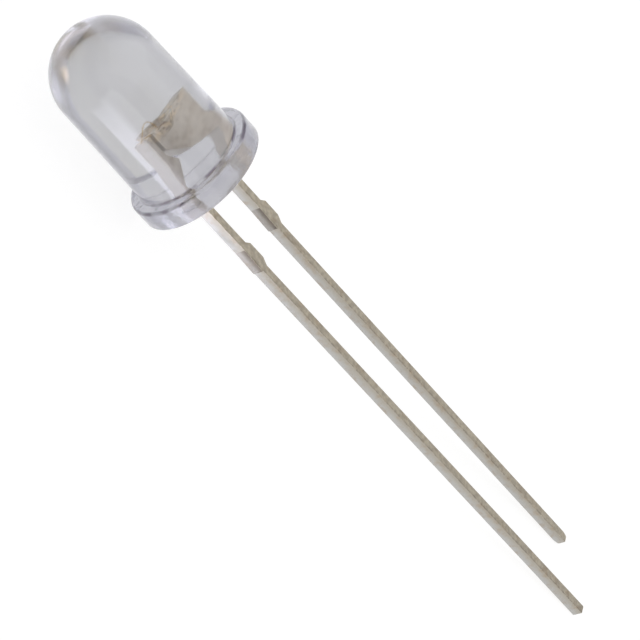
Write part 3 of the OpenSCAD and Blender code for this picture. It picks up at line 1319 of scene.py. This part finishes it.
@dataclass(frozen=True)
class SoftCard:
    """A glowing card beside the LED that only gloss sees, brightest in its middle and faded at its rims.

    The fade is the share of the card that each rim takes: left, right, low and high.
    """

    name: str
    middle: Place
    across: Place
    up: Place
    strength: float
    fade: tuple[float, float, float, float] = (0.45, 0.45, 0.45, 0.45)
    color: Color = rgb(238, 238, 255)

    def material(self) -> Material:
        """Makes the glow.

        Returns:
            The material.
        """
        g = Surface(self.name + "_glow", {
            "Base Color": (0, 0, 0, 1),
            "Specular IOR Level": 0.0,
            "Emission Color": self.color,
            "Emission Strength": self.strength,
        })
        x, y, _ = g.axes(g.place())
        rims = zip((x, x, y, y), (-1, 1, -1, 1), self.fade)
        glow = g.product(*(g.remap(side, (end, end - 2 * end * share)) for side, end, share in rims))
        g.feed(g.shader, {"Alpha": glow})
        return g.material

    def build(self) -> None:
        """Makes the card."""
        corners = [(-1, -1), (1, -1), (1, 1), (-1, 1)]
        middle, across, up = Vector(self.middle), Vector(self.across), Vector(self.up)
        mesh = bpy.data.meshes.new(self.name)
        mesh.from_pydata([middle + across * x + up * y for x, y in corners], [], [(0, 1, 2, 3)])
        place = mesh.attributes.new(LED_ATTRIBUTE, "FLOAT_VECTOR", "POINT")
        place.data.foreach_set("vector", [c for x, y in corners for c in (x, y, 0)])
        mesh.transform(Matrix.Scale(MM, 4))
        mesh.materials.append(self.material())
        card = new_piece(self.name, mesh)
        card.visible_camera = card.visible_diffuse = card.visible_transmission = card.visible_shadow = False


@dataclass(frozen=True)
class Studio:
    """Camera, white floor, plain sky and softboxes. The floor and its surround are in metres."""

    camera_place: Place = (-53.110, -70.106, 81.099)
    camera_aim: Place = (-0.334, 1.256, 0.0)
    camera_roll: float = 69.45
    camera_lens: float = 152.907
    floor_size: float = 2.0
    floor_white: float = 0.22
    floor_roughness: float = 0.9
    shown_white: float = 0.85
    surround: Span = (0.03, 0.13)
    surround_share: float = 0.92
    sky: float = 0.62
    sky_tint: Color = (0.92, 0.92, 1.0, 1.0)
    mirrored_sky: Place = (0.92, 0.62, 0.97)
    room_start: Span = (0.06, 0.22)
    ceiling_start: Span = (0.32, 0.65)
    light_bounces: int = 24

    def camera(self) -> None:
        """Places the camera at the photograph's viewing angle."""
        data = bpy.data.cameras.new("camera")
        data.lens = self.camera_lens
        data.sensor_width = 36.0
        data.clip_start, data.clip_end = 0.001, 10.0
        camera = bpy.data.objects.new("camera", data)
        bpy.context.scene.collection.objects.link(camera)
        camera.location = Vector(self.camera_place) * MM
        aim = Vector(self.camera_aim) * MM - camera.location
        roll = Quaternion((0, 0, 1), math.radians(self.camera_roll))
        camera.rotation_mode = "QUATERNION"
        camera.rotation_quaternion = aim.to_track_quat("-Z", "Y") @ roll
        bpy.context.scene.camera = camera

    def floor(self) -> None:
        """Lays the white floor. The camera sees it white throughout, gloss and glass only near the LED."""
        half = self.floor_size / 2
        mesh = bpy.data.meshes.new("floor")
        corners = [(-half, -half, 0), (half, -half, 0), (half, half, 0), (-half, half, 0)]
        mesh.from_pydata(corners, [], [(0, 1, 2, 3)])
        value = self.floor_white
        g = Surface("floor_white", {
            "Base Color": (value, value, value, 1),
            "Roughness": self.floor_roughness,
            "Specular IOR Level": 0.0,
            "Emission Color": (1, 1, 1, 1),
        })
        path = g.add("ShaderNodeLightPath")
        place = g.add("ShaderNodeNewGeometry").outputs["Position"]
        reach = g.add("ShaderNodeVectorMath", {0: place}, operation="LENGTH").outputs["Value"]
        near = g.product(g.mirrored(path), g.remap(reach, self.surround, (1.0, self.surround_share)))
        seen = g.math("MAXIMUM", path.outputs["Is Camera Ray"], near)
        g.feed(g.shader, {"Emission Strength": g.product(seen, self.shown_white)})
        mesh.materials.append(g.material)
        new_piece("floor", mesh)

    def world(self) -> None:
        """Makes a plain sky, white where the camera sees it.

        Gloss and glass see a pale horizon, the darker room above it and the pale ceiling.
        """
        world = bpy.data.worlds.new("sky")
        world.use_nodes = True
        bpy.context.scene.world = world
        g = Graph(world.node_tree)
        path = g.add("ShaderNodeLightPath")
        mirrored = g.mirrored(path)
        height = g.axes(g.add("ShaderNodeTexCoord").outputs["Generated"])[2]
        horizon, room, ceiling = self.mirrored_sky
        level = g.remap(height, self.room_start, (horizon, room))
        level = g.math("ADD", level, g.remap(height, self.ceiling_start, (0.0, ceiling - room)))
        plain = g.product(g.math("SUBTRACT", 1.0, mirrored), self.sky)
        strength = g.math("MULTIPLY_ADD", level, mirrored, plain)
        strength = g.math("MAXIMUM", strength, path.outputs["Is Camera Ray"])
        color = g.blend(mirrored, (1, 1, 1, 1), self.sky_tint)
        g.feed(g.tree.nodes["Background"], {"Strength": strength, "Color": color})

    def lamps(self) -> list[Lamp]:
        """Lists the softboxes."""
        return [
            Lamp("key", (-0.05, 0.10, 0.60), (0, 0, 0), (0.9, 0.9), 1.2),
            Lamp("side", (0.15, -0.26, 0.10), (0, 0, 0.003), (0.30, 0.20), 0.20, (0.93, 0.93, 1.0)),
        ]

    def cards(self) -> list[SoftCard]:
        """Lists the cards: the long highlight on the barrel, and small ones beside the dome and the flange."""
        warm = (1.0, 0.8, 0.62, 1.0)
        return [
            SoftCard("band_card", (-8.0, -9.0, 3.55), (7.5, 0, 0), (0, 0, 3.7), 5.7, (0.27, 0.3, 0.05, 0.42)),
            SoftCard("dome_card", (-18.6, -2.1, 0.02), (1.7, 0, 0), (0, 1.5, 0), 3.8),
            SoftCard("ring_card", (-22.2, 3.0, 0.02), (-1.9, 4.3, 0), (1.8, 0.8, 0), 4.4),
            SoftCard("arc_card", (-31.0, 8.5, 0.02), (-5.0, 11.0, 0), (-9.5, 2.5, 0), 4.0, (0.35, 0.3, 0.3, 0.4)),
            SoftCard("warm_card", (-22.4, -3.5, 0.02), (2.2, 0.3, 0), (0, 2.6, 0), 9.0, color=warm),
            SoftCard("flange_card", (-8.9, -4.7, 0.02), (1.9, 0, 0), (0, 1.2, 0), 4.4, (0.4, 0.4, 0.4, 0.4)),
        ]

    def build(self) -> None:
        """Builds the whole set. The clear lens needs more bounces than usual before its reflections die out."""
        scene = bpy.context.scene
        scene.view_settings.view_transform = "Standard"
        scene.cycles.max_bounces = self.light_bounces
        scene.cycles.glossy_bounces = self.light_bounces
        scene.cycles.transmission_bounces = self.light_bounces
        self.camera()
        self.floor()
        self.world()
        for item in self.lamps() + self.cards():
            item.build()


def main() -> None:
    """Builds the LED on its frame, piece by piece, and then the set."""
    logging.basicConfig(level=logging.INFO, format="%(name)s: %(message)s")
    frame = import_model()
    sizes = LedSizes()
    bench = Bench(frame["nodes"], sizes.rest_pose(), Finishes(sizes))
    for assembly in (
        ClearLens(sizes),
        StampedLead(sizes, "cathode_strip", "cathode_lead", sizes.cathode_len, tip_round=0.6),
        StampedLead(sizes, "anode_strip", "anode_lead", sizes.anode_len),
        LedChip(sizes),
        BondWire(sizes),
    ):
        for piece in assembly.build(bench):
            log.info("%s: %d faces", piece.name, len(piece.data.polygons))
    Studio().build()


if __name__ == "__main__":
    main()
